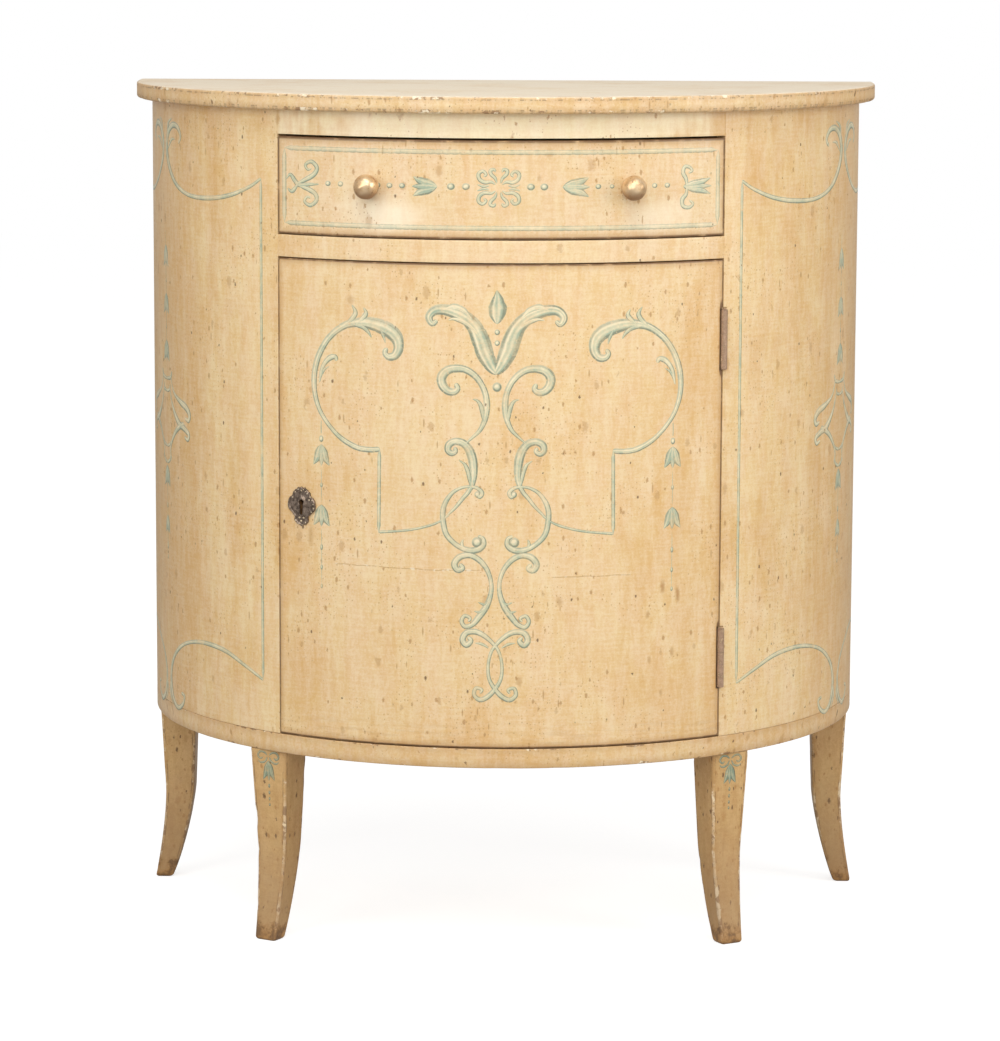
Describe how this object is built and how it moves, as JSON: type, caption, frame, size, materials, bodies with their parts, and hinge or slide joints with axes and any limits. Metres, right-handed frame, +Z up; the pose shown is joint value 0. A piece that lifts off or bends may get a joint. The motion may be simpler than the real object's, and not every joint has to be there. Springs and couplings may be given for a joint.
{
  "type": "demilune cabinet",
  "caption": "Half-round painted side cabinet on sabre legs, with a bowed drawer over a bowed door that swings on its right edge and locks at its left.",
  "frame": {"origin": "on the floor, at the middle of the box round the whole cabinet", "axes": "+Z up; the bowed front faces -Y and the flat back faces +Y; +X is the viewer's right when looking at the front"},
  "size_m": [0.772, 0.408, 0.855],
  "materials": {
    "back_board_1": "bare softwood, darkened with age",
    "back_board_2": "bare softwood, darkened with age",
    "back_board_3": "bare softwood, darkened with age",
    "base_board": "aged cream and tan paint over wood, soft sheen, with painted scrollwork",
    "door_panel": "aged cream and tan paint over wood, soft sheen, with painted scrollwork",
    "drawer_back": "bare softwood, darkened with age",
    "drawer_bottom": "bare softwood, darkened with age",
    "drawer_front": "aged cream and tan paint over wood, soft sheen, with painted scrollwork",
    "dust_board": "bare softwood, darkened with age",
    "escutcheon": "dark bronze patina, cast",
    "front_left_leg": "aged cream and tan paint over wood, soft sheen, with painted scrollwork",
    "front_right_leg": "aged cream and tan paint over wood, soft sheen, with painted scrollwork",
    "left_drawer_guide": "bare softwood, darkened with age",
    "left_drawer_side": "bare softwood, darkened with age",
    "left_drawer_stop": "bare softwood, darkened with age",
    "left_dust_board_bearer": "bare softwood, darkened with age",
    "left_front_post": "bare softwood, darkened with age",
    "left_kicker": "bare softwood, darkened with age",
    "left_knob": "worn gilt brass, turned",
    "left_knob_nut": "dull brass",
    "left_rear_post": "bare softwood, darkened with age",
    "left_shelf_bearer": "bare softwood, darkened with age",
    "left_side_panel": "aged cream and tan paint over wood, soft sheen, with painted scrollwork",
    "lock_bolt": "dull brass",
    "lock_case": "wrought iron, brown with age",
    "lower_door_stop": "bare softwood, darkened with age",
    "lower_hinge_case_leaf": "wrought iron, brown with age",
    "lower_hinge_door_leaf": "wrought iron, brown with age",
    "lower_hinge_pin": "wrought iron, brown with age",
    "middle_rail": "aged cream and tan paint over wood, soft sheen, with painted scrollwork",
    "rear_left_leg": "aged cream and tan paint over wood, soft sheen, with painted scrollwork",
    "rear_right_leg": "aged cream and tan paint over wood, soft sheen, with painted scrollwork",
    "right_drawer_guide": "bare softwood, darkened with age",
    "right_drawer_side": "bare softwood, darkened with age",
    "right_drawer_stop": "bare softwood, darkened with age",
    "right_dust_board_bearer": "bare softwood, darkened with age",
    "right_front_post": "bare softwood, darkened with age",
    "right_kicker": "bare softwood, darkened with age",
    "right_knob": "worn gilt brass, turned",
    "right_knob_nut": "dull brass",
    "right_rear_post": "bare softwood, darkened with age",
    "right_shelf_bearer": "bare softwood, darkened with age",
    "right_side_panel": "aged cream and tan paint over wood, soft sheen, with painted scrollwork",
    "shelf": "bare softwood, darkened with age",
    "strike_plate": "dull brass",
    "top": "aged cream and tan paint over wood, soft sheen, with painted scrollwork",
    "top_rail": "aged cream and tan paint over wood, soft sheen, with painted scrollwork",
    "upper_door_stop": "bare softwood, darkened with age",
    "upper_hinge_case_leaf": "wrought iron, brown with age",
    "upper_hinge_door_leaf": "wrought iron, brown with age",
    "upper_hinge_pin": "wrought iron, brown with age"
  },
  "bodies": {
    "carcass": {"top": "top", "base_board": "base_board", "top_rail": "top_rail", "middle_rail": "middle_rail", "left_side_panel": "left_side_panel", "right_side_panel": "right_side_panel", "left_front_post": "left_front_post", "right_front_post": "right_front_post", "left_rear_post": "left_rear_post", "right_rear_post": "right_rear_post", "back_board_1": "back_board_1", "back_board_2": "back_board_2", "back_board_3": "back_board_3", "dust_board": "dust_board", "left_dust_board_bearer": "left_dust_board_bearer", "right_dust_board_bearer": "right_dust_board_bearer", "shelf": "shelf", "left_shelf_bearer": "left_shelf_bearer", "right_shelf_bearer": "right_shelf_bearer", "left_drawer_guide": "left_drawer_guide", "right_drawer_guide": "right_drawer_guide", "left_kicker": "left_kicker", "right_kicker": "right_kicker", "left_drawer_stop": "left_drawer_stop", "right_drawer_stop": "right_drawer_stop", "lower_door_stop": "lower_door_stop", "upper_door_stop": "upper_door_stop", "front_left_leg": "front_left_leg", "front_right_leg": "front_right_leg", "rear_left_leg": "rear_left_leg", "rear_right_leg": "rear_right_leg", "upper_hinge_case_leaf": "upper_hinge_case_leaf", "lower_hinge_case_leaf": "lower_hinge_case_leaf", "upper_hinge_pin": "upper_hinge_pin", "lower_hinge_pin": "lower_hinge_pin", "strike_plate": "strike_plate"},
    "drawer": {"drawer_front": "drawer_front", "drawer_back": "drawer_back", "drawer_bottom": "drawer_bottom", "left_drawer_side": "left_drawer_side", "right_drawer_side": "right_drawer_side", "left_knob": "left_knob", "right_knob": "right_knob", "left_knob_nut": "left_knob_nut", "right_knob_nut": "right_knob_nut"},
    "door": {"door_panel": "door_panel", "lock_case": "lock_case", "escutcheon": "escutcheon", "upper_hinge_door_leaf": "upper_hinge_door_leaf", "lower_hinge_door_leaf": "lower_hinge_door_leaf"},
    "lock_bolt": {"lock_bolt": "lock_bolt"}
  },
  "joints": [
    {"name": "drawer_slide", "type": "slide", "parent": "carcass", "child": "drawer", "axis": [0, -1, 0], "range_m": [0, 0.22]},
    {"name": "door_hinge", "type": "hinge", "parent": "carcass", "child": "door", "pos_m": [0.22063, -0.11676, 0.216], "axis": [0, 0, 1], "range_deg": [0, 170]},
    {"name": "lock_bolt_slide", "type": "slide", "parent": "door", "child": "lock_bolt", "axis": [-0.8492, 0.5281, 0], "range_m": [0, 0.007]}
  ]
}
